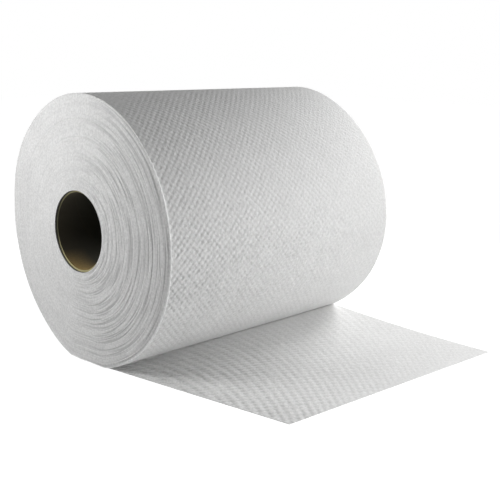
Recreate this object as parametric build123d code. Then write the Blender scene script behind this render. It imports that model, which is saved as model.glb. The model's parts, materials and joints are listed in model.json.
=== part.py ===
from build123d import *
import math
import os

# Wide roll of white embossed paper towel on a cardboard core, lying on its side.
# The sheet leaves the roll at the underside and its loose end lies out in front.
# Frame: X along the core toward the dished end, -Y toward the loose end, Z up.
# Origin: on the core axis, half way along the core.

# Driving dimensions, in millimetres and degrees

# Sheet and roll
sheet_width = 200.0
sheet_thickness = 0.3
roll_diameter = 177.8
flat_spot_width = 25.0

# Turns seen on the ends, which have slipped sideways like a telescope
telescope = 5.7
terrace_count = 15
inner_land = 1.6

# Gap on the bulging end where the outer turn stands off the others, along the front
slack_width = 0.6
slack_depth = 4.0
slack_above = 70.0
slack_below = 60.0

# Cardboard core
core_bore_diameter = 50.8
core_wall = 1.2
core_recess = 1.5
winding_clearance = 0.05

# Loose end of the sheet
tail_reach = 168.8
tail_skew = 6.45
tail_end_slant = 0.87
cling_angle = 25.0
cling_gap = 0.3
lift_radius = 20.0
crest_radius = 10.0

# Sizes worked out from the dimensions above
roll_radius = roll_diameter / 2
flat_half_width = flat_spot_width / 2
floor_height = math.sqrt(roll_radius**2 - flat_half_width**2)
core_radius = core_bore_diameter / 2 + core_wall
core_length = sheet_width - 2 * core_recess
winding_radius = core_radius + winding_clearance
near_rim = telescope - sheet_width / 2
far_rim = telescope + sheet_width / 2
terrace_pitch = (roll_radius - winding_radius - inner_land) / (terrace_count - 0.5)
terrace_step = telescope / (terrace_count - 1)


def turn_outline(radius, inward):
    """One turn of the wound sheet, closed where it starts, at the underside.

    The turn runs from the underside up the back, over the top and down the front,
    and comes back to the underside nearer the axis by the amount called inward.
    """
    back = ThreePointArc((0, -radius), (radius, 0), (0, radius))
    front = ThreePointArc((0, radius), (inward / 2 - radius, inward / 2), (0, inward - radius))
    seam = Line((0, inward - radius), (0, -radius))
    return make_face([back, front, seam])


def roll_blank():
    """Wound roll with square ends and the flat spot that it settles on."""
    turn = extrude(Plane.YZ.offset(near_rim) * turn_outline(roll_radius, sheet_thickness), sheet_width)
    ground = Pos(0, 0, -floor_height) * Box(
        2 * sheet_width, roll_diameter, roll_diameter, align=(Align.CENTER, Align.CENTER, Align.MAX)
    )
    return turn - ground


def end_terraces():
    """Stack of turns on the bulging end, each one standing a step further out."""
    root = terrace_step
    level = near_rim + root
    height = root + terrace_step
    stack = None
    for index in range(1, terrace_count):
        radius = roll_radius - (index - 0.5) * terrace_pitch
        outline = Plane.YZ.offset(level) * turn_outline(radius, terrace_pitch)
        terrace = extrude(outline, -height)
        stack = terrace if stack is None else stack + terrace
        level -= height
        height = terrace_step
    return stack


def outer_turn_slack():
    """Narrow gap behind the outer turn on the bulging end, along the front."""
    radius = roll_radius - 1.5 * sheet_thickness - slack_width / 2
    path = CenterArc((0, sheet_thickness / 2), radius, 180 - slack_above, slack_above + slack_below)
    return extrude(Plane.YZ.offset(near_rim - 1) * SlotArc(path, slack_width), slack_depth + 1)


def sheet_section(x, reach, lifted):
    """Closed section of the loose end along one edge of the sheet.

    The section stands on the floor in the plane of that edge. A lifted edge rises to
    meet the roll, turns over a soft crest and ramps down to the free corner.
    """
    angle = math.radians(cling_angle)
    contact_radius = roll_radius + cling_gap
    contact = Vector(contact_radius * math.sin(angle), floor_height - contact_radius * math.cos(angle))
    rise = Vector(math.cos(angle), math.sin(angle))
    run = (contact.Y - sheet_thickness) / math.tan(angle)
    toe = lift_radius * math.tan(angle / 2)
    foot = contact.X - run
    crest = contact + Vector(math.sin(angle), -math.cos(angle)) * crest_radius
    corner = Vector(reach, sheet_thickness)
    sight = corner - crest
    drop = math.asin(crest_radius / sight.length) - math.atan2(sight.Y, sight.X)
    crest_top = crest + Vector(0, crest_radius)
    crest_end = crest + Vector(math.sin(drop), math.cos(drop)) * crest_radius
    lift_start = Vector(foot - toe, sheet_thickness)
    lift_end = Vector(foot, sheet_thickness) + rise * toe
    lift_mid = lift_start + Vector(math.sin(angle / 2), 1 - math.cos(angle / 2)) * lift_radius
    raise_by = 1 if lifted else 0

    def at(point, thickness=0.0):
        height = sheet_thickness + (point.Y - sheet_thickness) * raise_by
        return (point.X, height - thickness)

    def profile(thickness):
        start = at(Vector(0, sheet_thickness), thickness)
        points = [at(p, thickness) for p in (lift_start, lift_mid, lift_end, contact, crest_top, crest_end, corner)]
        if lifted:
            lift = ThreePointArc(points[0], points[1], points[2])
            fold = ThreePointArc(points[3], points[4], points[5])
        else:
            lift = Line(points[0], points[2])
            fold = Line(points[3], points[5])
        return [Line(start, points[0]), lift, Line(points[2], points[3]), fold, Line(points[5], points[6])]

    top = profile(0)
    under = profile(sheet_thickness)
    root = Line(under[0] @ 0, top[0] @ 0)
    free = Line(top[-1] @ 1, under[-1] @ 1)
    skew = math.radians(tail_skew)
    plane = Plane(
        origin=(x, 0, -floor_height),
        x_dir=(math.sin(skew), -math.cos(skew), 0),
        z_dir=(-math.cos(skew), -math.sin(skew), 0),
    )
    return plane * make_face(top + under + [root, free])


def loose_end():
    """Loose end of the sheet, flat along the near edge and lifted along the far one."""
    skew = math.cos(math.radians(tail_skew))
    slant = math.tan(math.radians(tail_end_slant)) * sheet_width / 2
    near_edge = sheet_section(near_rim, (tail_reach - slant) / skew, False)
    far_edge = sheet_section(far_rim, (tail_reach + slant) / skew, True)
    return loft([near_edge, far_edge], ruled=True)


def paper_web():
    """The whole sheet as one piece: its wound turns and its loose end."""
    terraces = end_terraces()
    winding = roll_blank() + terraces
    winding -= Pos(sheet_width, 0, 0) * terraces
    winding -= outer_turn_slack()
    hollow = Cylinder(winding_radius, 2 * sheet_width, rotation=(0, 90, 0))
    return winding - hollow + loose_end()


def core_tube():
    """Cardboard tube that the sheet is wound on."""
    outside = Cylinder(core_radius, core_length, rotation=(0, 90, 0))
    inside = Cylinder(core_bore_diameter / 2, 2 * core_length, rotation=(0, 90, 0))
    return outside - inside


os.makedirs("parts", exist_ok=True)
export_step(paper_web(), "parts/paper_web.step")
export_step(core_tube(), "parts/core.step")
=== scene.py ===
"""A roll of white embossed paper towel on its side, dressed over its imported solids.

Frame: X along the core toward the dished end, -Y toward the loose end, Z up, in metres.
Angles round the roll are measured from the front (-Y), upward over the top.
"""

import json
import logging
import math
from dataclasses import dataclass, field
from enum import Enum

import bmesh
import bpy
import numpy as np
from mathutils import Euler, Matrix, Vector

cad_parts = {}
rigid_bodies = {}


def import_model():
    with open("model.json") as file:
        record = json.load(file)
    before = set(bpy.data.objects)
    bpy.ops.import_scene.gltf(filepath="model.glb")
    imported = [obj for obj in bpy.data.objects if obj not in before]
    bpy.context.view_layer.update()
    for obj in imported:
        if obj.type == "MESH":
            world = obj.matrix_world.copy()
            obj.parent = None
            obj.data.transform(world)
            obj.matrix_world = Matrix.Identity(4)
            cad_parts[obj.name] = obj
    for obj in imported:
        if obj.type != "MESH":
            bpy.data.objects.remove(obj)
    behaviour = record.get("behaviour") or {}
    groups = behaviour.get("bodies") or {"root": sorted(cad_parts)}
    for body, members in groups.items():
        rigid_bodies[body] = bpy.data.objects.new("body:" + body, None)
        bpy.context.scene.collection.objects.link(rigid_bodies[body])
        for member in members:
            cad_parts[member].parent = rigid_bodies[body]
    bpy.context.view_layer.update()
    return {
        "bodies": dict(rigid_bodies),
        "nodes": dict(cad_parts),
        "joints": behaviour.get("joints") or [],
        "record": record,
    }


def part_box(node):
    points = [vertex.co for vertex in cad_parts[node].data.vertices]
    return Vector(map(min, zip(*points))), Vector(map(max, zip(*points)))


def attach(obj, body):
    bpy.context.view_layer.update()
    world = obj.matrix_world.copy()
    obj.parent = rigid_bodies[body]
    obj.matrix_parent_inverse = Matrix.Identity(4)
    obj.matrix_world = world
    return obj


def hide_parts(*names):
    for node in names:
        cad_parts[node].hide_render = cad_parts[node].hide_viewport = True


LOG = logging.getLogger("paper_roll")

MM = 0.001
FULL_TURN = 2.0 * math.pi
UNDERSIDE = -0.5 * math.pi
SHARPEST_SMOOTHED = math.radians(60.0)
SAME_PLACE = 1e-6
SPOT_MIX = (12.9898, 78.233, 43758.5453)
WHITE = (1.0, 1.0, 1.0, 1.0)


def apart(angle: np.ndarray, middle: float) -> np.ndarray:
    """Returns how far angles round the roll are from one of them, either way."""
    return np.abs(np.mod(angle - middle + math.pi, FULL_TURN) - math.pi)


def smoothstep(low: float, high: float, value: np.ndarray) -> np.ndarray:
    """Returns 0 below low, 1 above high and a smooth rise between them."""
    share = np.clip((value - low) / (high - low), 0.0, 1.0)
    return share * share * (3.0 - 2.0 * share)


class End(Enum):
    """The two ends of the roll, each with its direction along the core."""

    BULGING = -1
    DISHED = 1


@dataclass(frozen=True)
class RollSizes:
    """Sizes that every sub-assembly shares, in metres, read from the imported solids."""

    radius: float
    floor: float
    reach: float
    slip: float
    core_radius: float
    core_end: float
    ply: float = 0.3 * MM
    column_pitch: float = 200.0 * MM / 43
    rows_round: int = 113

    @classmethod
    def from_frame(cls, frame: dict) -> "RollSizes":
        """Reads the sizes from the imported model.


        Returns:
            The shared sizes.
        """
        low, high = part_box("paper_web")
        core_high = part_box("core")[1]
        mounts = {mount["name"]: mount for mount in frame["record"]["mounts"]}
        return cls(
            radius=high[2],
            floor=low[2],
            reach=-low[0],
            slip=mounts["underside"]["pos_m"][0],
            core_radius=core_high[2],
            core_end=core_high[0],
        )

    @property
    def near_rim(self) -> float:
        """Place of the outermost turn's edge on the bulging end."""
        return self.slip - self.reach

    @property
    def far_rim(self) -> float:
        """Place of the outermost turn's edge on the dished end."""
        return self.slip + self.reach

    @property
    def width(self) -> float:
        """Width of the sheet."""
        return self.far_rim - self.near_rim

    def columns(self, per_period: int) -> int:
        """Counts the steps across the sheet, with some for each period of its pattern."""
        return round(self.width / self.column_pitch) * per_period

    @property
    def flat_depth(self) -> float:
        """How much the flat spot under the roll takes off its radius."""
        return self.radius + self.floor


@dataclass(frozen=True)
class Swell:
    """A soft swelling of the roll, or a hollow when its height is negative, at one end."""

    end: End
    middle: float
    half: float
    height: float

    def rise(self, angle: np.ndarray, ease: np.ndarray) -> np.ndarray:
        """Returns how far it stands out; ease is 1 at the bulging end's rim to 0 at the other."""
        share = ease if self.end is End.BULGING else 1.0 - ease
        return self.height * share * (1.0 - smoothstep(0.0, self.half, apart(angle, self.middle)))


@dataclass(frozen=True)
class Sag:
    """How the soft roll has gone out of round at its bulging end, easing toward the other end."""

    shrink: float = 0.42 * MM
    oval: float = 1.34 * MM
    oval_angle: float = math.radians(-56.0)
    back: float = 0.38 * MM
    drop: float = 1.09 * MM
    swells: tuple = (
        Swell(End.BULGING, math.radians(180.0), math.radians(70.0), -0.8 * MM),
        Swell(End.DISHED, math.radians(-8.0), math.radians(45.0), 1.6 * MM),
        Swell(End.DISHED, math.radians(53.0), math.radians(38.0), -1.3 * MM),
        Swell(End.DISHED, math.radians(90.0), math.radians(25.0), 0.3 * MM),
        Swell(End.DISHED, math.radians(-62.0), math.radians(38.0), -1.4 * MM),
    )
    slips: tuple = (
        Swell(End.BULGING, math.radians(-92.0), math.radians(38.0), -2.2 * MM),
        Swell(End.BULGING, math.radians(148.0), math.radians(30.0), -1.2 * MM),
    )

    def settle(
        self, x: np.ndarray, angle: np.ndarray, radius: np.ndarray, sizes: RollSizes
    ) -> np.ndarray:
        """Places points of the round roll on the sagged roll, with its flat spot.

        Args:
            x: places along the core.
            angle: angles round the roll.
            radius: distances from the core's axis.
            sizes: the shared sizes.

        Returns:
            The points as rows of x, y and z.
        """
        depth = radius / sizes.radius
        ease = np.clip((sizes.far_rim - x) / sizes.width, 0.0, 1.0)
        weight = ease * depth**2
        oval = self.oval * np.cos(2.0 * (angle - self.oval_angle))
        out = radius + weight * (oval - self.shrink)
        for swell in self.swells:
            out = out + depth**3 * swell.rise(angle, ease)
        for slip in self.slips:
            x = x + depth**3 * slip.rise(angle, ease)
        y = -out * np.cos(angle) + weight * self.back
        z = out * np.sin(angle) - weight * self.drop
        lowest = sizes.flat_depth * depth**3 - radius
        return np.stack([x, y, np.maximum(z, lowest)], axis=1)


@dataclass(frozen=True)
class Valley:
    """The valley that the outer turns leave where they flare away from the roll's bulging end."""

    depth: float = 1.15 * MM
    start: float = 0.3 * MM
    lowest: float = 2.0 * MM
    end: float = 5.8 * MM
    climb_power: float = 1.3
    middle: float = math.radians(-6.0)
    half: float = math.radians(70.0)
    lip_half: float = math.radians(52.0)
    lip_width: float = 0.9 * MM
    lip_rise: float = 0.42 * MM

    def window(self, angle: np.ndarray, half: float) -> np.ndarray:
        """Returns 1 along the front, where the outer turns flare, and 0 beyond half on either side."""
        return 1.0 - smoothstep(0.5 * half, half, apart(angle, self.middle))

    def depth_at(self, angle: np.ndarray, inside: np.ndarray) -> np.ndarray:
        """Works out how far the turns' edges stand back.

        Args:
            angle: angles round the roll.
            inside: distances inside the outer turn's face.

        Returns:
            The depth at each point.
        """
        fall = np.clip((inside - self.start) / (self.lowest - self.start), 0.0, 1.0)
        climb = np.clip((self.end - inside) / (self.end - self.lowest), 0.0, 1.0)
        share = np.where(inside < self.lowest, fall, climb**self.climb_power)
        return self.depth * self.window(angle, self.half) * share


def new_piece(name: str, shape: bmesh.types.BMesh) -> bpy.types.Object:
    """Makes a named object in the scene from a bmesh, which is freed.

    Args:
        name: the piece's name.
        shape: its shape.

    Returns:
        The object.
    """
    mesh = bpy.data.meshes.new(name)
    shape.to_mesh(mesh)
    shape.free()
    piece = bpy.data.objects.new(name, mesh)
    bpy.context.scene.collection.objects.link(piece)
    return piece


def spun_outline(stations: list[tuple[float, float, int]], steps: int) -> bmesh.types.BMesh:
    """Spins a closed outline about the core's axis into a closed ring.

    Args:
        stations: the outline's points as place along the core, radius, and the cuts
            made in the run from that point to the next.
        steps: how many steps go round.

    Returns:
        The ring, with its faces pointing outwards.
    """
    shape = bmesh.new()
    corners = [shape.verts.new((x, 0.0, -radius)) for x, radius, _ in stations]
    runs = [shape.edges.new((a, b)) for a, b in zip(corners, corners[1:] + corners[:1])]
    for run, (_, _, cuts) in zip(runs, stations):
        if cuts:
            bmesh.ops.subdivide_edges(shape, edges=[run], cuts=cuts)
    outline = shape.verts[:] + shape.edges[:]
    bmesh.ops.spin(
        shape,
        geom=outline,
        cent=(0.0, 0.0, 0.0),
        axis=(-1.0, 0.0, 0.0),
        angle=FULL_TURN,
        steps=steps,
        use_merge=True,
    )
    bmesh.ops.recalc_face_normals(shape, faces=shape.faces[:])
    return shape


def shade_smooth(shape: bmesh.types.BMesh) -> None:
    """Shades a shape smooth, apart from its sharp edges.

    Args:
        shape: the shape.
    """
    for face in shape.faces:
        face.smooth = True
    for edge in shape.edges:
        edge.smooth = len(edge.link_faces) == 2 and edge.calc_face_angle() < SHARPEST_SMOOTHED


def read_points(mesh: bpy.types.Mesh) -> np.ndarray:
    """Reads where a mesh's points are.

    Args:
        mesh: the mesh.

    Returns:
        Rows of x, y and z.
    """
    flat = np.empty(len(mesh.vertices) * 3)
    mesh.vertices.foreach_get("co", flat)
    return flat.reshape(-1, 3)


def round_core(points: np.ndarray) -> tuple[np.ndarray, np.ndarray]:
    """Returns the points' distances from the core's axis and their angles round it."""
    return np.hypot(points[:, 1], points[:, 2]), np.arctan2(points[:, 2], -points[:, 1])


def write_points(mesh: bpy.types.Mesh, points: np.ndarray) -> None:
    """Moves a mesh's points to the rows given."""
    mesh.vertices.foreach_set("co", points.ravel())
    mesh.update()


def write_pattern_map(
    mesh: bpy.types.Mesh, across: np.ndarray, along: np.ndarray, wrap: float
) -> None:
    """Gives a mesh of quads a UV map that counts the embossed pattern's periods.

    Args:
        mesh: the mesh.
        across: each point's place across the sheet, in periods.
        along: each point's place along the sheet, in periods.
        wrap: the periods after which the sheet closes on itself, or 0.
    """
    corners = np.empty(len(mesh.loops), dtype=np.int64)
    mesh.loops.foreach_get("vertex_index", corners)
    u, v = across[corners].reshape(-1, 4), along[corners].reshape(-1, 4)
    if wrap:
        torn = (v.max(axis=1) - v.min(axis=1)) > wrap / 2
        v[torn] = np.where(v[torn] < wrap / 2, v[torn] + wrap, v[torn])
    layer = mesh.uv_layers.new(name="emboss")
    layer.data.foreach_set("uv", np.stack([u.ravel(), v.ravel()], axis=1).ravel())


def write_values(mesh: bpy.types.Mesh, name: str, values: np.ndarray) -> None:
    """Stores one value at each point of a mesh for its finish to read."""
    mesh.attributes.new(name, "FLOAT", "POINT").data.foreach_set("value", values)


def spot_strength(across: np.ndarray, along: np.ndarray) -> np.ndarray:
    """Gives each dimple its own strength, from its place in the pattern.

    Args:
        across: places across the sheet, in periods.
        along: places along the sheet, in periods.

    Returns:
        Strengths from 0.5 to 1.5.
    """
    first, second = np.rint(across + along), np.rint(across - along)
    mixed = np.sin(first * SPOT_MIX[0] + second * SPOT_MIX[1]) * SPOT_MIX[2]
    return 0.5 + np.mod(mixed, 1.0)


@dataclass(frozen=True)
class Emboss:
    """The embossed pattern: dimples in staggered rows, pulled flatter in places."""

    depth: float = 0.16 * MM
    fine_depth: float = 0.34 * MM

    def press(self, across: np.ndarray, along: np.ndarray, fullness: np.ndarray) -> np.ndarray:
        """Returns how far each place, counted in periods, is pressed in."""
        wave = np.cos(FULL_TURN * across) * np.cos(FULL_TURN * along)
        return self.depth * fullness * spot_strength(across, along) * ((1.0 + wave) / 2.0) ** 2


class NodeTree:
    """Places and joins the nodes of one material or node group."""

    def __init__(self, tree: bpy.types.NodeTree) -> None:
        """Starts on an empty tree."""
        self.tree = tree
        self.tree.nodes.clear()

    def add(self, kind: str, settings: dict | None = None, **inputs: object) -> bpy.types.Node:
        """Adds a node, sets it up and joins its inputs.

        Args:
            kind: the node's type.
            settings: its own settings by name.
            **inputs: its inputs by name with spaces as underscores, or i0, i1 for a
                place in the list; each is a plain value or a socket to join.

        Returns:
            The node.
        """
        node = self.tree.nodes.new(kind)
        for name, value in (settings or {}).items():
            setattr(node, name, value)
        for name, value in inputs.items():
            by_place = name[0] == "i" and name[1:].isdigit()
            socket = node.inputs[int(name[1:]) if by_place else name.replace("_", " ")]
            if isinstance(value, bpy.types.NodeSocket):
                self.tree.links.new(value, socket)
            else:
                socket.default_value = value
        return node

    def maths(self, operation: str, *values: object) -> bpy.types.NodeSocket:
        """Adds a Math node and returns its result."""
        inputs = {f"i{place}": value for place, value in enumerate(values)}
        return self.add("ShaderNodeMath", {"operation": operation}, **inputs).outputs[0]

    def spread(
        self, value: object, low: float, high: float, to_low: float, to_high: float
    ) -> bpy.types.NodeSocket:
        """Adds a Map Range node from low..high to to_low..to_high and returns its result."""
        ends = {"i1": low, "i2": high, "i3": to_low, "i4": to_high}
        return self.add("ShaderNodeMapRange", i0=value, **ends).outputs[0]

    def mixed(self, share: object, first: object, second: object) -> bpy.types.NodeSocket:
        """Adds a colour Mix node and returns its colour."""
        settings = {"data_type": "RGBA"}
        return self.add("ShaderNodeMix", settings, i0=share, i6=first, i7=second).outputs[2]

    def attribute(self, name: str) -> bpy.types.NodeSocket:
        """Adds an Attribute node and returns the value that it reads."""
        return self.add("ShaderNodeAttribute", {"attribute_name": name}).outputs["Fac"]

    def fibres(self, colour: tuple, scale: float, mottle: object) -> bpy.types.Node:
        """Adds the paper fibres and returns their node, which puts out Colour and Height."""
        inputs = {"Colour": colour, "Fibre scale": scale, "Mottle": mottle}
        return self.add("ShaderNodeGroup", {"node_tree": FibreGroup.get()}, **inputs)

    def object_place(self) -> bpy.types.NodeSocket:
        """Adds a Texture Coordinate node and returns the place on the object."""
        return self.add("ShaderNodeTexCoord").outputs["Object"]

    def bump(
        self, height: object, distance: float, normal: object = None, strength: float = 1.0,
        **settings: object,
    ) -> bpy.types.NodeSocket:
        """Adds a Bump node over an earlier one's normal, if there is one.

        Args:
            height: the relief.
            distance: the relief's depth in metres.
            normal: the normal that it is added to.
            strength: how much of it shows.
            **settings: the node's own settings.

        Returns:
            The normal.
        """
        inputs = {"Strength": strength, "Distance": distance, "Height": height}
        if normal is not None:
            inputs["Normal"] = normal
        return self.add("ShaderNodeBump", settings, **inputs).outputs[0]

    def matt_surface(
        self, colour: object, roughness: float, specular: float, normal: object, sheen: float = 0.0
    ) -> None:
        """Adds the surface and the material's output.

        Args:
            colour: its colour.
            roughness: its roughness.
            specular: its specular level.
            normal: its normal.
            sheen: how much it has of the soft sheen of loose fibres.
        """
        inputs = {"Base_Color": colour, "Roughness": roughness, "Normal": normal}
        surface = self.add("ShaderNodeBsdfPrincipled", **inputs)
        surface.inputs["Specular IOR Level"].default_value = specular
        surface.inputs["Sheen Weight"].default_value = sheen
        self.add("ShaderNodeOutputMaterial", Surface=surface.outputs[0])

    def seen_directly(self) -> bpy.types.NodeSocket:
        """Adds a mask for what the camera sees, also by gloss or through glass.

        Returns:
            1 where it is seen, else 0.
        """
        ray = self.add("ShaderNodeLightPath").outputs
        seen = self.maths("MAXIMUM", ray["Is Camera Ray"], ray["Is Glossy Ray"])
        return self.maths("MAXIMUM", seen, ray["Is Transmission Ray"])


def new_material(name: str) -> tuple[bpy.types.Material, NodeTree]:
    """Makes an empty material.

    Args:
        name: its name.

    Returns:
        The material and what places its nodes.
    """
    material = bpy.data.materials.new(name)
    material.use_nodes = True
    return material, NodeTree(material.node_tree)


class FibreGroup:
    """A node group for paper fibres: a faint colour mottle and a fine felted relief."""

    name = "paper_fibres"
    cloud_scale = 55.0
    cloud_share = 0.15
    shade_low = 0.3
    shade_high = 0.7

    @classmethod
    def get(cls) -> bpy.types.NodeTree:
        """Makes the group on its first use.

        Returns:
            The group.
        """
        if cls.name in bpy.data.node_groups:
            return bpy.data.node_groups[cls.name]
        group = bpy.data.node_groups.new(cls.name, "ShaderNodeTree")
        socket = group.interface.new_socket
        for name in ("Fibre scale", "Mottle"):
            socket(name=name, in_out="INPUT", socket_type="NodeSocketFloat")
        socket(name="Colour", in_out="INPUT", socket_type="NodeSocketColor")
        socket(name="Colour", in_out="OUTPUT", socket_type="NodeSocketColor")
        socket(name="Height", in_out="OUTPUT", socket_type="NodeSocketFloat")
        make = NodeTree(group)
        given = make.add("NodeGroupInput").outputs
        place = make.object_place()
        fine = {"Vector": place, "Scale": given["Fibre scale"], "Detail": 3.0, "Roughness": 0.6}
        felt = make.add("ShaderNodeTexNoise", **fine).outputs[0]
        broad = {"Vector": place, "Scale": cls.cloud_scale, "Detail": 2.0}
        clouds = make.add("ShaderNodeTexNoise", **broad).outputs[0]
        felt_part = make.maths("MULTIPLY", felt, 1.0 - cls.cloud_share)
        shade = make.maths("MULTIPLY_ADD", clouds, cls.cloud_share, felt_part)
        shade = make.spread(shade, cls.shade_low, cls.shade_high, 0.0, 1.0)
        share = make.maths("MULTIPLY", shade, given["Mottle"])
        colour = make.mixed(share, given["Colour"], (0.0, 0.0, 0.0, 1.0))
        make.add("NodeGroupOutput", Colour=colour, Height=felt)
        return group


@dataclass(frozen=True)
class EmbossedPaper:
    """White towel paper with staggered dimples, for the faces of the sheet."""

    name: str = "embossed_paper"
    colour: tuple = (0.86, 0.86, 0.855, 1.0)
    roughness: float = 0.92
    specular: float = 0.15
    sheen: float = 0.1
    # Colour of the painted light: a painted highlight on the front rim and painted light over the
    # crease's shade.
    painted_light_colour: tuple = (0.95, 0.95, 0.945, 1.0)
    fibre_scale: float = 700.0
    least_mottle: float = 0.13
    most_mottle: float = 0.3
    rough_fullness: float = 1.2
    dimple_power: float = 1.5
    least_dimple: float = 0.5
    most_dimple: float = 1.5
    fibre_height: float = 0.36 * MM

    def material(self, emboss: Emboss) -> bpy.types.Material:
        """Builds the finish.

        Args:
            emboss: the sheet's pattern, whose fine part this finish adds.

        Returns:
            The material.
        """
        material, make = new_material(self.name)
        fullness = make.attribute("fullness")
        mottles = (self.least_mottle, self.most_mottle)
        mottle = make.spread(fullness, 0.0, self.rough_fullness, *mottles)
        fibres = make.fibres(self.colour, self.fibre_scale, mottle).outputs
        # Painted light: this mix paints the paper paler along the bulging end's front rim, a painted
        # highlight, and near the crease where the sheet meets the roll's underside, painted light over
        # its shade.
        colour = make.mixed(make.attribute("pale"), fibres["Colour"], self.painted_light_colour)
        periods = make.add("ShaderNodeUVMap", {"uv_map": "emboss"}).outputs[0]
        split = make.add("ShaderNodeSeparateXYZ", i0=periods).outputs
        turns = [make.maths("MULTIPLY", part, FULL_TURN) for part in split[:2]]
        wave = make.maths("MULTIPLY", *[make.maths("COSINE", turn) for turn in turns])
        wave = make.maths("MULTIPLY_ADD", wave, 0.5, 0.5)
        dimple = make.maths("POWER", wave, self.dimple_power)
        places = [make.maths(sign, split[0], split[1]) for sign in ("ADD", "SUBTRACT")]
        first, second = [make.maths("ROUND", place) for place in places]
        spot = make.add("ShaderNodeCombineXYZ", X=first, Y=second).outputs[0]
        flat_noise = {"noise_dimensions": "2D"}
        chance = make.add("ShaderNodeTexWhiteNoise", flat_noise, Vector=spot).outputs["Value"]
        strength = make.spread(chance, 0.0, 1.0, self.least_dimple, self.most_dimple)
        dimple = make.maths("MULTIPLY", dimple, strength)
        dimple = make.maths("MULTIPLY", dimple, fullness)
        relief = make.bump(fibres["Height"], self.fibre_height)
        pressed = make.bump(dimple, emboss.fine_depth, relief, invert=True)
        make.matt_surface(colour, self.roughness, self.specular, pressed, self.sheen)
        return material


@dataclass(frozen=True)
class PaperEdges:
    """The edges of many wound turns, seen on the ends of the roll."""

    name: str = "wound_edges"
    colour: tuple = (0.88, 0.88, 0.875, 1.0)
    roughness: float = 0.95
    specular: float = 0.1
    fibre_scale: float = 700.0
    mottle: float = 0.26
    # Near black painted on the paper's wall by the core: painted shade of the recess between the paper
    # and the core.
    recess_shade_colour: tuple = (0.03, 0.027, 0.021, 1.0)
    recess_shade_edge: float = 0.04 * MM
    gap_colour: tuple = (0.42, 0.42, 0.42, 1.0)
    turns_per_metre: float = 760.0
    waviness: float = 1.6
    line_height: float = 0.8 * MM
    line_darkness: float = 0.55
    darkest_line: float = 0.38
    palest_line: float = 0.52
    lively_side: float = math.radians(-8.0)
    calm_from: float = -0.14
    lively_from: float = 0.5
    calm_share: float = 0.2
    fibre_height: float = 0.35 * MM

    def material(self, radius_inside: float) -> bpy.types.Material:
        """Builds the finish.

        Args:
            radius_inside: where the painted shade on the paper's wall by the core ends.

        Returns:
            The material.
        """
        material, make = new_material(self.name)
        fibres = make.fibres(self.colour, self.fibre_scale, self.mottle).outputs
        split = make.add("ShaderNodeSeparateXYZ", i0=make.object_place()).outputs
        flat = make.add("ShaderNodeCombineXYZ", Y=split[1], Z=split[2]).outputs[0]
        radius = make.add("ShaderNodeVectorMath", {"operation": "LENGTH"}, i0=flat).outputs["Value"]
        wound = make.attribute("wound_radius")
        across = make.maths("MULTIPLY", wound, self.turns_per_metre)
        round_y = make.maths("MULTIPLY", make.maths("DIVIDE", split[1], radius), self.waviness)
        round_z = make.maths("MULTIPLY", make.maths("DIVIDE", split[2], radius), self.waviness)
        place = make.add("ShaderNodeCombineXYZ", X=across, Y=round_y, Z=round_z).outputs[0]
        noise = {"Vector": place, "Scale": 1.0, "Detail": 1.0, "Roughness": 0.7}
        lines = make.add("ShaderNodeTexNoise", **noise).outputs[0]
        # The grey lines are real gaps between turns, but their darkening by side, strong toward the
        # front and faint at the back, is painted shade.
        side = (-math.cos(self.lively_side), math.sin(self.lively_side))
        upward = make.maths("MULTIPLY", split[2], side[1])
        toward = make.maths("MULTIPLY_ADD", split[1], side[0], upward)
        toward = make.maths("DIVIDE", toward, radius)
        lively = make.spread(toward, self.calm_from, self.lively_from, self.calm_share, 1.0)
        dark = make.spread(lines, self.darkest_line, self.palest_line, 1.0, 0.0)
        dark = make.maths("MULTIPLY", dark, self.line_darkness)
        dark = make.maths("MULTIPLY", dark, lively)
        lines = make.maths("MULTIPLY", lines, lively)
        colour = make.mixed(dark, fibres["Colour"], self.gap_colour)
        # Painted shade: the paper's wall in the recess by the core is painted near black.
        recess_shade_ends = (radius_inside - self.recess_shade_edge, radius_inside + self.recess_shade_edge)
        recess_shaded = make.spread(wound, *recess_shade_ends, 1.0, 0.0)
        colour = make.mixed(recess_shaded, colour, self.recess_shade_colour)
        felt = make.bump(fibres["Height"], self.fibre_height)
        ribbed = make.bump(lines, self.line_height, felt)
        make.matt_surface(colour, self.roughness, self.specular, ribbed)
        return material


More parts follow.
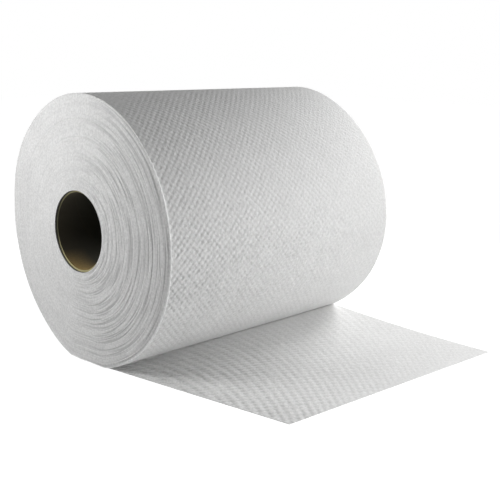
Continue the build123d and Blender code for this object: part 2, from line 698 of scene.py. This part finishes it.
@dataclass(frozen=True)
class KraftBoard:
    """Brown spiral-wound board of the core."""

    name: str = "kraft_board"
    colour: tuple = (0.52, 0.36, 0.14, 1.0)
    # Near black painted inside the tube: painted shade.
    tube_shade_colour: tuple = (0.06, 0.057, 0.044, 1.0)
    seam_colour: tuple = (0.12, 0.085, 0.045, 1.0)
    # The cut rim's colour where painted shade falls on it, between its pale bottom and top.
    rim_shade_colour: tuple = (0.09, 0.085, 0.05, 1.0)
    rim_pale: tuple = (0.5, 0.45, 0.24, 1.0)
    rim_depth: float = 0.15 * MM
    rim_low: tuple = (-0.85, -0.2)
    rim_high: tuple = (0.4, 1.0)
    rim_high_share: float = 0.6
    # How far in from each end, and how high up from the bottom, the board keeps its own lit brown:
    # painted light.
    bottom_light_length: float = 18.0 * MM
    bottom_light_full: float = 2.0 * MM
    bottom_light_top: float = -15.5 * MM
    bottom_light_least: float = 0.04
    roughness: float = 0.8
    specular: float = 0.3
    fibre_scale: float = 900.0
    mottle: float = 0.35
    relief_depth: float = 0.1 * MM
    relief_strength: float = 0.5
    strip_pitch: float = 80.0 * MM
    seam_share: float = 0.02
    seam_strength: float = 0.06

    def material(self, core_end: float, core_radius: float) -> bpy.types.Material:
        """Builds the finish.

        Args:
            core_end: how far the tube reaches along its axis, where its cut rims are paler.
            core_radius: the tube's outer radius.

        Returns:
            The material.
        """
        material, make = new_material(self.name)
        fibres = make.fibres(self.colour, self.fibre_scale, self.mottle).outputs
        split = make.add("ShaderNodeSeparateXYZ", i0=make.object_place()).outputs
        from_middle = make.maths("ABSOLUTE", split[0])
        # Painted shade and light: the tube's inside is painted near black, keeping the board's brown
        # only low near the ends, where light falls.
        bottom_light_ends = (core_end - self.bottom_light_length, core_end - self.bottom_light_full)
        near_end = make.spread(from_middle, *bottom_light_ends, 0.0, 1.0)
        low = make.spread(split[2], -core_radius, self.bottom_light_top, 1.0, self.bottom_light_least)
        painted_bottom_light = make.maths("MULTIPLY", near_end, low)
        board = make.mixed(painted_bottom_light, self.tube_shade_colour, fibres["Colour"])
        turn = make.maths("DIVIDE", make.maths("ARCTAN2", split[2], split[1]), FULL_TURN)
        wound = make.maths("ADD", make.maths("DIVIDE", split[0], self.strip_pitch), turn)
        seam = make.maths("LESS_THAN", make.maths("FRACT", wound), self.seam_share)
        body = make.mixed(make.maths("MULTIPLY", seam, self.seam_strength), board, self.seam_colour)
        # The cut rim is pale board; it is painted darker at middle height as painted shade, palest at
        # the bottom and partly pale at the top.
        low_ends = [share * core_radius for share in self.rim_low]
        high_ends = [share * core_radius for share in self.rim_high]
        pale_low = make.spread(split[2], *low_ends, 1.0, 0.0)
        pale_high = make.spread(split[2], *high_ends, 0.0, self.rim_high_share)
        rim = make.mixed(make.maths("MAXIMUM", pale_low, pale_high), self.rim_shade_colour, self.rim_pale)
        on_rim = make.maths("GREATER_THAN", from_middle, core_end - self.rim_depth)
        colour = make.mixed(on_rim, body, rim)
        height = make.maths("SUBTRACT", fibres["Height"], seam)
        relief = make.bump(height, self.relief_depth, strength=self.relief_strength)
        make.matt_surface(colour, self.roughness, self.specular, relief)
        return material


@dataclass
class OuterTurn:
    """The last whole turn of the sheet round the roll, with its embossed face and cut rims."""

    sizes: RollSizes
    sag: Sag
    emboss: Emboss
    valley: Valley
    name: str = "outer_turn"
    columns_per_period: int = 4
    rows_per_period: int = 4
    plain_border: float = 1.0 * MM
    full_base: float = 0.25
    full_above: float = 0.13
    full_top: float = 0.25
    full_low: float = 0.93
    full_angle: float = math.radians(-16.0)
    full_spread: float = math.radians(26.0)
    full_near: float = 1.74
    full_loss: float = 1.5
    above: tuple = (math.radians(40.0), math.radians(80.0))
    top: tuple = (math.radians(60.0), math.radians(85.0))
    top_end: tuple = (math.radians(130.0), math.radians(175.0))
    # Angles from the underside over which the paper gets painted light over the crease's shade.
    painted_light_underside: tuple = (math.radians(2.0), math.radians(28.0))
    rim_wall: float = 1.0 * MM
    rim_round: float = 0.25 * MM
    wall_behind: float = 2.3 * MM
    wall_slope: float = 6.0 * MM

    def build(self) -> bpy.types.Object:
        """Makes the turn.

        Returns:
            Its object.
        """
        sizes, wall, soft = self.sizes, self.rim_wall, self.rim_round
        near, far, top = sizes.near_rim, sizes.far_rim, sizes.radius
        columns = sizes.columns(self.columns_per_period)
        stations = [
            (near, top, 0),
            (near + self.valley.lip_width, top, columns - 1),
            (far - soft, top, 0),
            (far, top - soft, 0),
            (far, top - wall, 0),
            (far - self.wall_slope, top - self.wall_behind, 2),
            (near + self.wall_slope, top - self.wall_behind, 0),
            (near, top - wall, 0),
        ]
        shape = spun_outline(stations, sizes.rows_round * self.rows_per_period)
        shade_smooth(shape)
        piece = new_piece(self.name, shape)
        self._press(piece.data)
        return piece

    def _fullness(self, x: np.ndarray, angle: np.ndarray) -> np.ndarray:
        """Works out how full the pattern is: fullest on the front, flatter to the dished end.

        Args:
            x: places along the core.
            angle: angles round the roll.

        Returns:
            The share of the pattern's depth that each place has kept.
        """
        share = (x - self.sizes.near_rim) / self.sizes.width
        low = np.exp(-(((angle - self.full_angle) / self.full_spread) ** 2))
        lifted = smoothstep(*self.above, apart(angle, UNDERSIDE))
        topmost = smoothstep(*self.top, angle)
        topmost = topmost * (1.0 - smoothstep(*self.top_end, angle))
        full = self.full_base + self.full_above * lifted + self.full_top * topmost
        full = full + self.full_low * low
        return full * (self.full_near - self.full_loss * share)

    def _press(self, mesh: bpy.types.Mesh) -> None:
        """Embosses the round turn, winds it as one step of the spiral and lets it sag.

        Args:
            mesh: the turn's mesh, still round and smooth.
        """
        sizes = self.sizes
        points = read_points(mesh)
        x = points[:, 0]
        radius, angle = round_core(points)
        wound = np.mod(angle - UNDERSIDE, FULL_TURN) / FULL_TURN
        wound[wound > 1.0 - SAME_PLACE] = 0.0
        progress = np.where(wound == 0.0, 1.0, wound)
        across = (x - sizes.near_rim) / sizes.column_pitch
        along = wound * sizes.rows_round
        write_pattern_map(mesh, across, along, float(sizes.rows_round))
        fullness = self._fullness(x, angle)
        write_values(mesh, "fullness", fullness)
        edge = np.minimum(x - sizes.near_rim, sizes.far_rim - x)
        on_face = radius > sizes.radius - SAME_PLACE
        pressed = on_face * smoothstep(0.0, self.plain_border, edge)
        pressed = pressed * self.emboss.press(across, along, fullness)
        lift = sizes.ply * (1.0 - progress)
        on_rim = x < sizes.near_rim + SAME_PLACE
        flared = on_rim * on_face * self.valley.window(angle, self.valley.lip_half)
        # Painted light: a painted highlight on the flared front rim (flared also lifts the lip in the
        # shape) and painted light along the underside over the crease's shade.
        underneath = 1.0 - smoothstep(*self.painted_light_underside, apart(angle, UNDERSIDE))
        write_values(mesh, "pale", np.maximum(flared, underneath))
        x = x + on_rim * self.valley.depth_at(angle, sizes.radius - radius)
        out = radius - pressed - lift + flared * self.valley.lip_rise
        settled = self.sag.settle(x, angle, out, sizes)
        settled[:, 2] = np.maximum(settled[:, 2], sizes.floor + lift + pressed)
        write_points(mesh, settled)


@dataclass
class WoundTurns:
    """A band of the wound turns, whose edges make the fine rings on both ends."""

    sizes: RollSizes
    sag: Sag
    valley: Valley
    name: str
    inner: float
    outer: float
    seed: int
    mouth: float = 0.0
    mouth_depth: float = 2.0 * MM
    rings: int = 104
    steps: int = 340
    packet_share: float = 0.5
    ring_spread: float = 0.25
    packet_spread: float = 0.9
    wave_spread: float = 0.5
    waves: tuple = (1, 2, 3, 5)
    ring_relief: float = 0.032 * MM
    ripple: float = 0.01 * MM
    ripple_length: float = 4.9 * MM
    gaps: tuple = (48.0 * MM, 54.0 * MM, 57.8 * MM, 60.8 * MM, 72.8 * MM)
    gap_depth: float = 0.35 * MM
    gap_wander: float = 0.3 * MM
    gap_start: float = 1.7
    gap_turn: float = 0.2
    gap_front: tuple = (-0.5, 0.6)
    gap_middle: float = 0.1 * MM
    gap_edge: float = 0.5 * MM
    lively_front: tuple = (-0.4, 0.5)
    calm_share: float = 0.35
    calm_border: float = 0.6 * MM

    def build(self) -> bpy.types.Object:
        """Makes the band.

        Returns:
            Its object.
        """
        reach = self.sizes.reach
        mouth = self.inner + self.mouth
        stations = [
            (-reach, mouth, self.rings - 1),
            (-reach, self.outer, 1),
            (reach, self.outer, self.rings - 1),
            (reach, mouth, 0),
            (reach - self.mouth_depth, self.inner, 1),
            (self.mouth_depth - reach, self.inner, 0),
        ]
        shape = spun_outline(stations, self.steps)
        shade_smooth(shape)
        piece = new_piece(self.name, shape)
        self._shift_edges(piece.data)
        return piece

    def _shift_edges(self, mesh: bpy.types.Mesh) -> None:
        """Slips the turns along the core, each by its own small amount.

        Args:
            mesh: the band's mesh, with its turns still in line.
        """
        sizes = self.sizes
        points = read_points(mesh)
        x = points[:, 0].copy()
        radius, angle = round_core(points)
        share = (radius - sizes.core_radius) / (sizes.radius - sizes.core_radius)
        mouth = self.inner + self.mouth
        ring = np.rint((radius - mouth) / (self.outer - mouth) * self.rings)
        ring = np.clip(ring, 0, self.rings).astype(int)
        x += sizes.slip * share
        for number, end in enumerate(End):
            at_end = points[:, 0] * end.value > sizes.reach - SAME_PLACE
            here = (ring[at_end], angle[at_end], radius[at_end])
            x[at_end] += self._ring_shift(self.seed + number, *here)
        on_near = points[:, 0] < SAME_PLACE - sizes.reach
        back = self.valley.depth_at(angle, sizes.radius - radius)
        x += on_near * (back + self._gaps(angle, radius))
        write_values(mesh, "wound_radius", radius)
        write_points(mesh, self.sag.settle(x, angle, radius, sizes))

    def _ring_shift(
        self, seed: int, ring: np.ndarray, angle: np.ndarray, radius: np.ndarray
    ) -> np.ndarray:
        """Works out how far each turn's edge stands off the others.

        Args:
            seed: the seed of this end's draws.
            ring: the number of each point's ring.
            angle: each point's angle round the roll.
            radius: each point's distance from the axis.

        Returns:
            Each point's shift along the core.
        """
        draw = np.random.default_rng(seed)
        count = self.rings + 1
        packet = np.cumsum(draw.random(count) < self.packet_share)[ring]
        shift = draw.normal(0.0, self.ring_spread, count)[ring]
        shift = shift + draw.normal(0.0, self.packet_spread, count)[packet]
        for wave in self.waves:
            size = draw.normal(0.0, self.wave_spread, count)
            start = draw.uniform(0.0, FULL_TURN, count)
            shift = shift + size[packet] * np.cos(wave * angle + start[packet])
        start = draw.uniform(0.0, FULL_TURN, count)[ring]
        ripples = np.cos(FULL_TURN * radius * angle / self.ripple_length + start)
        edge = np.minimum(radius - self.inner, self.outer - radius)
        free = smoothstep(0.0, self.calm_border, edge)
        front = smoothstep(*self.lively_front, np.cos(angle))
        free = free * (self.calm_share + (1.0 - self.calm_share) * front)
        return (self.ring_relief * shift + self.ripple * ripples) * free

    def _gaps(self, angle: np.ndarray, radius: np.ndarray) -> np.ndarray:
        """Works out the few looser places between turns, which wander a little round the roll.

        Args:
            angle: each point's angle round the roll.
            radius: each point's distance from the axis.

        Returns:
            How far back each point stands.
        """
        depth = np.zeros_like(radius)
        for number, gap in enumerate(self.gaps):
            swings = 1 + number % 2
            wander = gap + self.gap_wander * np.cos(angle * swings + self.gap_start * number)
            fade = smoothstep(*self.gap_front, np.cos(angle - self.gap_turn * number))
            outside = smoothstep(self.gap_middle, self.gap_edge, np.abs(radius - wander))
            depth += self.gap_depth * fade * (1.0 - outside)
        return depth


@dataclass(frozen=True)
class Wave:
    """Periods of one of the two waves that cross in the loose end's larger, turned embossing.

    Places are counted in tenths of a metre from the middle of the sheet's width and from
    0.1 m in front of the roll's axis.
    """

    across: float
    out: float
    across_twice: float
    mixed: float
    out_twice: float
    start: float

    def periods(self, across: np.ndarray, out: np.ndarray) -> np.ndarray:
        """Counts the wave's periods.

        Args:
            across: places across the sheet from its near edge, in metres.
            out: distances in front of the roll's axis, in metres.

        Returns:
            The number of periods at each place.
        """
        a, b = across * 10.0 - 1.0, out * 10.0 - 1.0
        bend = self.across_twice * a * a + self.mixed * a * b + self.out_twice * b * b
        return self.start + self.across * a + self.out * b + bend


@dataclass
class LooseEnd:
    """The free end of the sheet, which leaves the roll underneath and lies out in front."""

    sizes: RollSizes
    sag: Sag
    emboss: Emboss
    name: str = "loose_end"
    reach: float = 168.05 * MM
    slant: float = math.radians(1.3)
    skew: float = math.radians(8.03)
    hang: float = 1.3 * MM
    cling_near: float = math.radians(13.0)
    cling_far: float = math.radians(29.0)
    cling_spread: float = 0.55
    cling_depth: float = 0.2 * MM
    lift_radius: float = 20.0 * MM
    crest_radius: float = 0.8 * MM
    # How far out from where the sheet leaves the roll its painted light fades.
    painted_light_reach: float = 6.0 * MM
    thinnest: float = 0.08 * MM
    least_climb: float = 0.2 * MM
    foot_share: float = 0.45
    climb_share: float = 0.9
    bend_parts: int = 7
    crest_parts: int = 9
    view_across: float = 2.34
    view_out: float = 1.95
    full_base: float = 0.3
    full_near: float = 3.1
    full_reach: float = 62.0 * MM
    full_out: float = 0.45
    full_in: float = 0.55
    full_line: float = 82.0 * MM
    full_fall: float = 30.0 * MM
    full_most: float = 1.3
    plain_border: float = 1.0 * MM
    rows: int = 140
    columns_per_period: int = 4
    falling: Wave = Wave(15.559, 11.173, 0.719, 4.482, 6.256, -0.55)
    rising: Wave = Wave(9.515, -16.349, 0.547, 2.708, 2.810, -0.19)

    def profile(self, across: float) -> tuple[np.ndarray, float]:
        """Works out the sheet's line at one place of its width.

        It lies flat, rises to touch the roll, turns over a low crest and runs down to the free end.

        Args:
            across: the place as a share of the width, from the near edge.

        Returns:
            Rows of distance in front of the axis and height above the floor, and the
            distance at which the sheet leaves the roll.
        """
        sizes = self.sizes
        rise = self.cling_near + (self.cling_far - self.cling_near) * across**self.cling_spread
        reach = self.reach + (2.0 * across - 1.0) * sizes.far_rim * math.tan(self.slant)
        x = sizes.near_rim + across * sizes.width
        spot = [np.array([value]) for value in (x, UNDERSIDE + rise, sizes.radius)]
        touch = self.sag.settle(*spot, sizes)[0]
        leave = -touch[1] - self.cling_depth * math.sin(rise)
        height = touch[2] - sizes.floor + self.cling_depth * math.cos(rise)
        height = max(height, sizes.ply + self.least_climb)
        crest, bend = self.crest_radius, self.lift_radius
        middle = (leave + crest * math.sin(rise), height - crest * math.cos(rise))
        foot = leave - (height - sizes.ply) / math.tan(rise)
        longest = min(self.foot_share * foot, self.climb_share * (leave - foot))
        tangent = min(bend * math.tan(rise / 2.0), longest)
        bend = tangent / math.tan(rise / 2.0)
        points = [(0.0, sizes.ply), (foot - tangent, sizes.ply)]
        for part in np.linspace(0.0, rise, self.bend_parts)[1:]:
            along_bend = foot - tangent + bend * math.sin(part)
            points.append((along_bend, sizes.ply + bend * (1.0 - math.cos(part))))
        away = (reach - middle[0], sizes.ply - middle[1])
        lean = math.asin(crest / math.hypot(*away)) - math.atan2(away[1], away[0])
        for part in np.linspace(rise, -lean, self.crest_parts):
            over = middle[0] - crest * math.sin(part)
            points.append((over, middle[1] + crest * math.cos(part)))
        points.append((reach, sizes.ply))
        return np.array(points), leave

    def build(self) -> bpy.types.Object:
        """Makes the loose end.

        Returns:
            Its object.
        """
        sizes = self.sizes
        columns = sizes.columns(self.columns_per_period)
        shape = bmesh.new()
        bmesh.ops.create_grid(shape, x_segments=columns, y_segments=self.rows, size=0.5)
        rim = [edge for edge in shape.edges if edge.is_boundary]
        lower = bmesh.ops.duplicate(shape, geom=shape.faces[:])["geom"]
        lower_verts = [item for item in lower if isinstance(item, bmesh.types.BMVert)]
        lower_faces = [item for item in lower if isinstance(item, bmesh.types.BMFace)]
        bmesh.ops.translate(shape, verts=lower_verts, vec=(0.0, 0.0, -1.0))
        lower_rim = [edge for face in lower_faces for edge in face.edges if edge.is_boundary]
        bmesh.ops.bridge_loops(shape, edges=rim + list(dict.fromkeys(lower_rim)))
        bmesh.ops.recalc_face_normals(shape, faces=shape.faces[:])
        shade_smooth(shape)
        piece = new_piece(self.name, shape)
        self._lay_out(piece.data)
        return piece

    def _lay_out(self, mesh: bpy.types.Mesh) -> None:
        """Lays the flat grid out as the sheet, column by column.

        Args:
            mesh: the sheet's mesh, still a flat grid.
        """
        sizes = self.sizes
        points = read_points(mesh)
        across = points[:, 0] + 0.5
        along = 0.5 - points[:, 1]
        below = -points[:, 2]
        width = sizes.width
        out, up, lean, leave = (np.zeros(len(points)) for _ in range(4))
        for column in np.unique(across):
            line, left_at = self.profile(float(np.clip(column, 0.0, 1.0)))
            run = np.concatenate([[0.0], np.cumsum(np.hypot(*np.diff(line, axis=0).T))])
            slope = np.arctan2(np.gradient(line[:, 1], run), np.gradient(line[:, 0], run))
            here = across == column
            at = along[here] * run[-1]
            out[here] = np.interp(at, run, line[:, 0])
            up[here] = np.interp(at, run, line[:, 1])
            lean[here] = np.interp(at, run, slope)
            leave[here] = left_at
        run_out = np.clip((out - leave) / (self.reach - leave), 0.0, 1.0)
        up -= self.hang * across * 4.0 * run_out * (1.0 - run_out)
        seen_across = across * width + self.view_across * up
        seen_out = out - self.view_out * up
        falling = self.falling.periods(seen_across, seen_out)
        rising = self.rising.periods(seen_across, seen_out)
        close = self.full_in * np.exp((self.full_line - seen_out) / self.full_fall)
        shaded = np.clip(self.full_out + close, 0.0, self.full_most)
        fullness = self.full_base + self.full_near * np.exp(-seen_across / self.full_reach)
        fullness = fullness * shaded
        first, second = (falling + rising) / 2.0, (falling - rising) / 2.0
        write_pattern_map(mesh, first, second, 0.0)
        write_values(mesh, "fullness", fullness)
        # Painted light: the sheet is painted paler near where it leaves the roll, over the crease's
        # shade.
        write_values(mesh, "pale", np.exp(-np.maximum(out - leave, 0.0) / self.painted_light_reach))
        pressed = self.emboss.press(first, second, fullness)
        edge = np.minimum(np.minimum(across, 1.0 - across) * width, (1.0 - along) * self.reach)
        pressed = pressed * smoothstep(0.0, self.plain_border, edge)
        drop = np.where(below > 0.5, np.maximum(sizes.ply, pressed + self.thinnest), pressed)
        out = out + drop * np.sin(lean)
        up = up - drop * np.cos(lean)
        x = sizes.near_rim + across * width + np.maximum(out - leave, 0.0) * math.tan(self.skew)
        up = np.maximum(up, np.where(below > 0.5, 0.0, self.thinnest))
        write_points(mesh, np.stack([x, -out, sizes.floor + up], axis=1))


@dataclass(frozen=True)
class Lamp:
    """A square lamp that faces the roll, placed by its heading from +X, height and distance."""

    name: str
    heading: float
    height: float
    watts: float
    distance: float = 0.4
    size: float = 0.15


@dataclass
class Studio:
    """Floor, lamps, surroundings and camera."""

    sizes: RollSizes
    lamp_list: tuple = (
        Lamp("front", math.radians(-62), math.radians(27), 0.22),
        Lamp("high_front", math.radians(-60), math.radians(60), 0.03),
        Lamp("low_front", math.radians(-90), math.radians(4), 0.46),
        Lamp("right", math.radians(-15), math.radians(27), 1.09),
        Lamp("left", math.radians(165), math.radians(27), 0.73),
        Lamp("back", math.radians(90), math.radians(5), 0.38),
    )
    lamp_aim: Vector = field(default_factory=lambda: Vector((0.0, 0.0, -0.03)))
    floor_size: float = 6.0
    floor_drop: float = 0.02 * MM
    floor_shade: float = 0.8
    floor_seen: float = 0.25
    glow_close: float = 0.965
    glow_from: float = 0.3
    glow_to: float = 0.6
    world_strength: float = 0.02
    camera_place: Vector = field(default_factory=lambda: Vector((-0.4284, -0.4945, 0.1139)))
    camera_aim: Vector = field(default_factory=lambda: Vector((0.0553, 0.0, -0.0334)))
    camera_roll: float = math.radians(0.919)
    lens: float = 66.51
    sensor: float = 36.0

    def floor(self) -> bpy.types.Object:
        """Makes the floor.

        Returns:
            Its object.
        """
        shape = bmesh.new()
        bmesh.ops.create_grid(shape, x_segments=8, y_segments=8, size=self.floor_size / 2.0)
        down = self.sizes.floor - self.floor_drop
        bmesh.ops.translate(shape, verts=shape.verts[:], vec=(0.0, 0.0, down))
        piece = new_piece("floor", shape)
        material, make = new_material("white_floor")
        seen = make.seen_directly()
        matt, faint = [
            make.add("ShaderNodeBsdfDiffuse", Color=(shade, shade, shade, 1.0)).outputs[0]
            for shade in (self.floor_shade, self.floor_seen)
        ]
        length = {"operation": "LENGTH"}
        away = make.add("ShaderNodeVectorMath", length, i0=make.object_place()).outputs["Value"]
        strength = make.spread(away, self.glow_from, self.glow_to, self.glow_close, 1.0)
        glow = make.add("ShaderNodeEmission", Color=WHITE, Strength=strength).outputs[0]
        shown = make.add("ShaderNodeAddShader", i0=faint, i1=glow).outputs[0]
        surface = make.add("ShaderNodeMixShader", i0=seen, i1=matt, i2=shown).outputs[0]
        make.add("ShaderNodeOutputMaterial", Surface=surface)
        piece.data.materials.append(material)
        return piece

    def surroundings(self) -> None:
        """Makes an even pale world that is white where the camera sees it."""
        bpy.context.scene.view_settings.view_transform = "Standard"
        world = bpy.data.worlds.new("surroundings")
        bpy.context.scene.world = world
        world.use_nodes = True
        make = NodeTree(world.node_tree)
        soft, white = [
            make.add("ShaderNodeBackground", Color=WHITE, Strength=strength).outputs[0]
            for strength in (self.world_strength, 1.0)
        ]
        seen = make.seen_directly()
        mix = make.add("ShaderNodeMixShader", i0=seen, i1=soft, i2=white).outputs[0]
        make.add("ShaderNodeOutputWorld", Surface=mix)

    def lamps(self) -> None:
        """Hangs the lamps, which the camera doesn't see."""
        for lamp in self.lamp_list:
            light = bpy.data.lights.new(lamp.name, "AREA")
            light.size = lamp.size
            light.energy = lamp.watts
            hung = bpy.data.objects.new(lamp.name, light)
            turn = Euler((0.0, -lamp.height, lamp.heading)).to_matrix()
            out = turn @ Vector((lamp.distance, 0.0, 0.0))
            hung.location = self.lamp_aim + out
            hung.rotation_euler = (-out).to_track_quat("-Z", "Y").to_euler()
            hung.visible_camera = False
            bpy.context.scene.collection.objects.link(hung)

    def camera(self) -> bpy.types.Object:
        """Sets up the camera.

        Returns:
            Its object.
        """
        lens = bpy.data.cameras.new("camera")
        lens.lens = self.lens
        lens.sensor_width = self.sensor
        lens.clip_start = 0.01
        camera = bpy.data.objects.new("camera", lens)
        turn = (self.camera_aim - self.camera_place).to_track_quat("-Z", "Y").to_matrix()
        roll = Matrix.Rotation(self.camera_roll, 3, "Z")
        camera.location = self.camera_place
        camera.rotation_euler = (turn @ roll).to_euler()
        bpy.context.scene.collection.objects.link(camera)
        bpy.context.scene.camera = camera
        return camera


def dress(piece: bpy.types.Object, material: bpy.types.Material, node: str) -> None:
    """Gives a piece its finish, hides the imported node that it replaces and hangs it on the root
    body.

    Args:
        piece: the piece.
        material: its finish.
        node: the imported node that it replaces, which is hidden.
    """
    piece.data.materials.append(material)
    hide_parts(node)
    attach(piece, "root")
    LOG.info("%s: %d faces", piece.name, len(piece.data.polygons))


def main() -> None:
    """Builds the roll and its studio."""
    logging.basicConfig(level=logging.INFO, format="%(name)s: %(message)s")
    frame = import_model()
    sizes = RollSizes.from_frame(frame)
    sag = Sag()
    valley = Valley()
    emboss = Emboss()
    mouth = 0.05 * MM
    middle = 58.0 * MM
    under_outer_turn = 0.95 * MM
    outer = sizes.radius - under_outer_turn
    embossed = EmbossedPaper().material(emboss)
    edges = PaperEdges().material(sizes.core_radius + mouth)
    dress(OuterTurn(sizes, sag, emboss, valley).build(), embossed, "paper_web")
    outer_band = WoundTurns(sizes, sag, valley, "outer_band", middle, outer, seed=11)
    dress(outer_band.build(), edges, "paper_web")
    inner_band = WoundTurns(
        sizes, sag, valley, "inner_band", sizes.core_radius, middle, seed=23, mouth=mouth
    )
    dress(inner_band.build(), edges, "paper_web")
    loose_end = LooseEnd(sizes, sag, emboss).build()
    dress(loose_end, embossed, "paper_web")
    core = frame["nodes"]["core"]
    core.data.materials.clear()
    core.data.materials.append(KraftBoard().material(sizes.core_end, sizes.core_radius))
    studio = Studio(sizes)
    studio.floor()
    studio.surroundings()
    studio.lamps()
    studio.camera()


if __name__ == "__main__":
    main()
